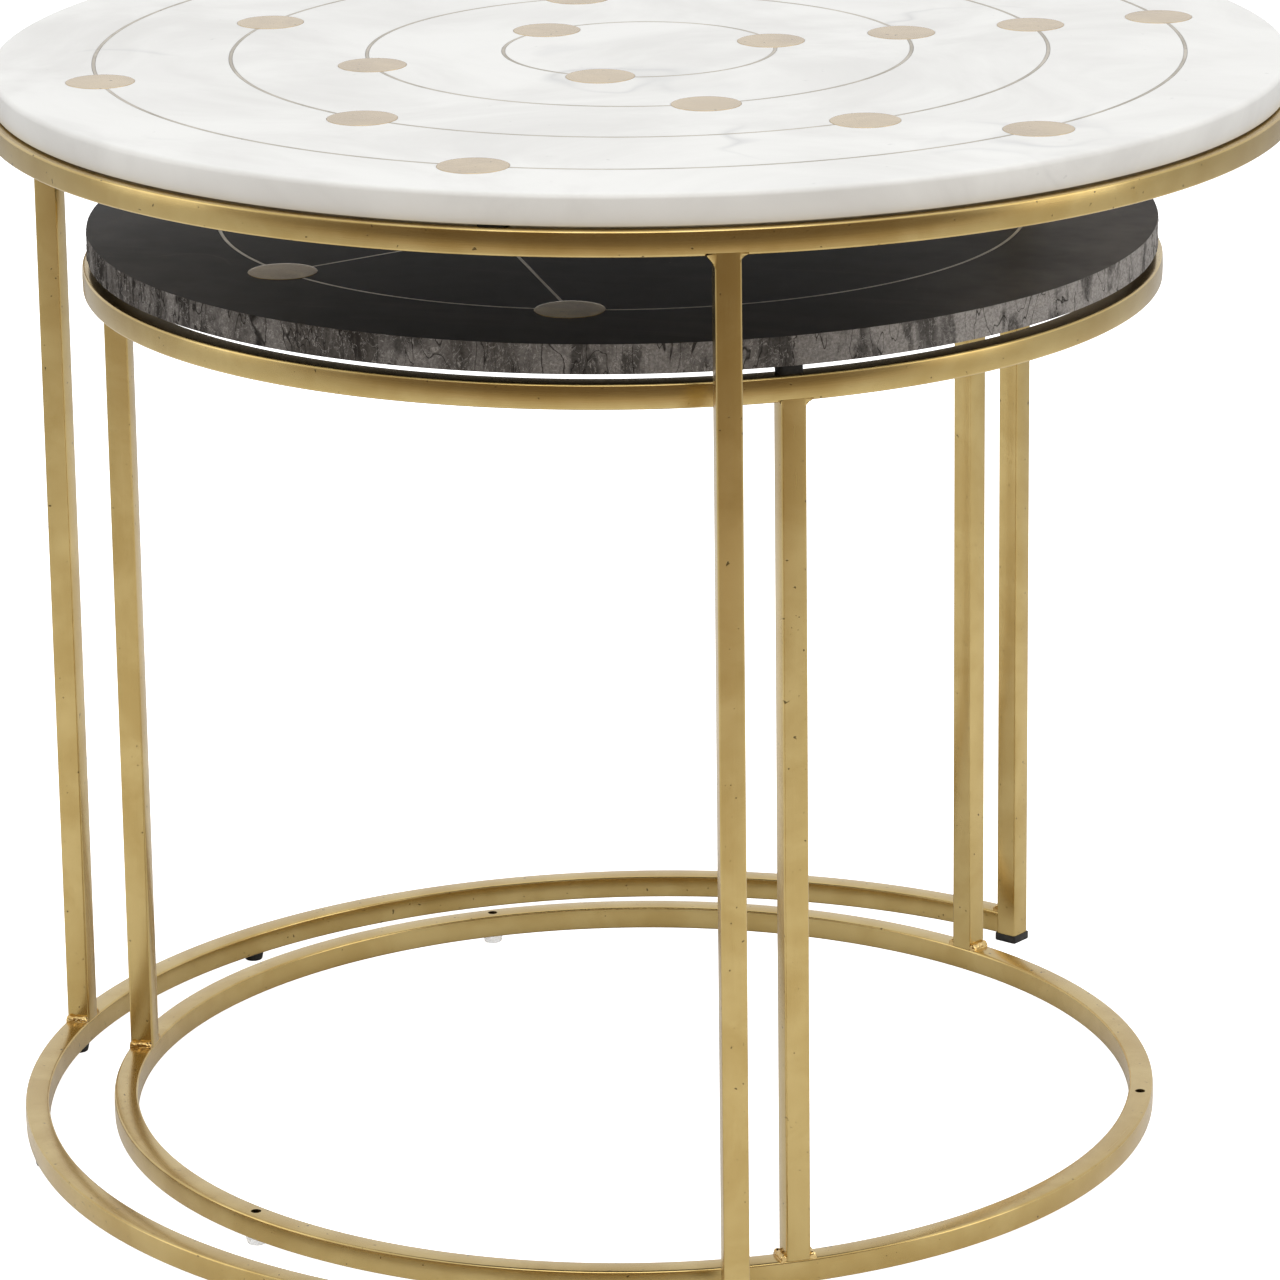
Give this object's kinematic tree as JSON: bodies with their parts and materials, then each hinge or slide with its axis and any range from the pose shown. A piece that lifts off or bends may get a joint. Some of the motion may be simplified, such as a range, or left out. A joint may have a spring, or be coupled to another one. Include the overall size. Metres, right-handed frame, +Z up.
{
  "type": "nesting tables",
  "caption": "Nest of two round side tables: brass-inlaid stone tops on square-tube brass frames; the inner one slides out through the outer one's open base arc.",
  "frame": {"origin": "on the floor under the centre of the outer table", "axes": "+Z up; +X is the way the inner table slides out, through the mouth of the outer base arc"},
  "size_m": [0.607, 0.607, 0.522],
  "materials": {
    "frame_brass": "satin brushed, antiqued",
    "weld_brass": "satin, rippled bead",
    "inlay_strip_brass": "ground flush",
    "inlay_disc_brass": "ground flush, polished",
    "white_marble": "honed and polished",
    "black_marble": "polished face, rough-sawn edge",
    "black_plastic": "moulded",
    "clear_plastic": "moulded, clear and slightly frosted",
    "black_rubber": "matt"
  },
  "bodies": {
    "outer_frame": {"outer_top_ring": "frame_brass", "outer_rear_leg": "frame_brass", "outer_left_leg": "frame_brass", "outer_right_leg": "frame_brass", "outer_base_arc": "frame_brass", "outer_top_welds": "weld_brass", "outer_base_welds": "weld_brass", "outer_glides": "black_plastic", "outer_leg_plugs": "black_plastic", "outer_pads": "black_rubber"},
    "outer_top": {"outer_slab": "white_marble", "outer_inlay_ring_1": "inlay_strip_brass", "outer_inlay_ring_2": "inlay_strip_brass", "outer_inlay_ring_3": "inlay_strip_brass", "outer_inlay_ring_4": "inlay_strip_brass", "outer_inlay_discs_1": "inlay_disc_brass", "outer_inlay_discs_2": "inlay_disc_brass", "outer_inlay_discs_3": "inlay_disc_brass", "outer_inlay_discs_4": "inlay_disc_brass"},
    "inner_frame": {"inner_top_ring": "frame_brass", "inner_base_ring": "frame_brass", "inner_rear_leg": "frame_brass", "inner_left_leg": "frame_brass", "inner_right_leg": "frame_brass", "inner_top_welds": "weld_brass", "inner_base_welds": "weld_brass", "inner_glides": "clear_plastic", "inner_pads": "black_rubber"},
    "inner_top": {"inner_slab": "black_marble", "inner_inlay_circle": "inlay_strip_brass", "inner_inlay_lines": "inlay_strip_brass", "inner_rim_discs": "inlay_disc_brass", "inner_core_discs": "inlay_disc_brass"}
  },
  "joints": [
    {"name": "inner_table_pull_out", "type": "slide", "parent": "outer_frame", "child": "inner_frame", "axis": [1, 0, 0], "range_m": [-0.02, 0.65]},
    {"name": "outer_top_lift_off", "type": "slide", "parent": "outer_frame", "child": "outer_top", "axis": [0, 0, 1], "range_m": [0, 0.1]},
    {"name": "inner_top_lift_off", "type": "slide", "parent": "inner_frame", "child": "inner_top", "axis": [0, 0, 1], "range_m": [0, 0.04]}
  ]
}
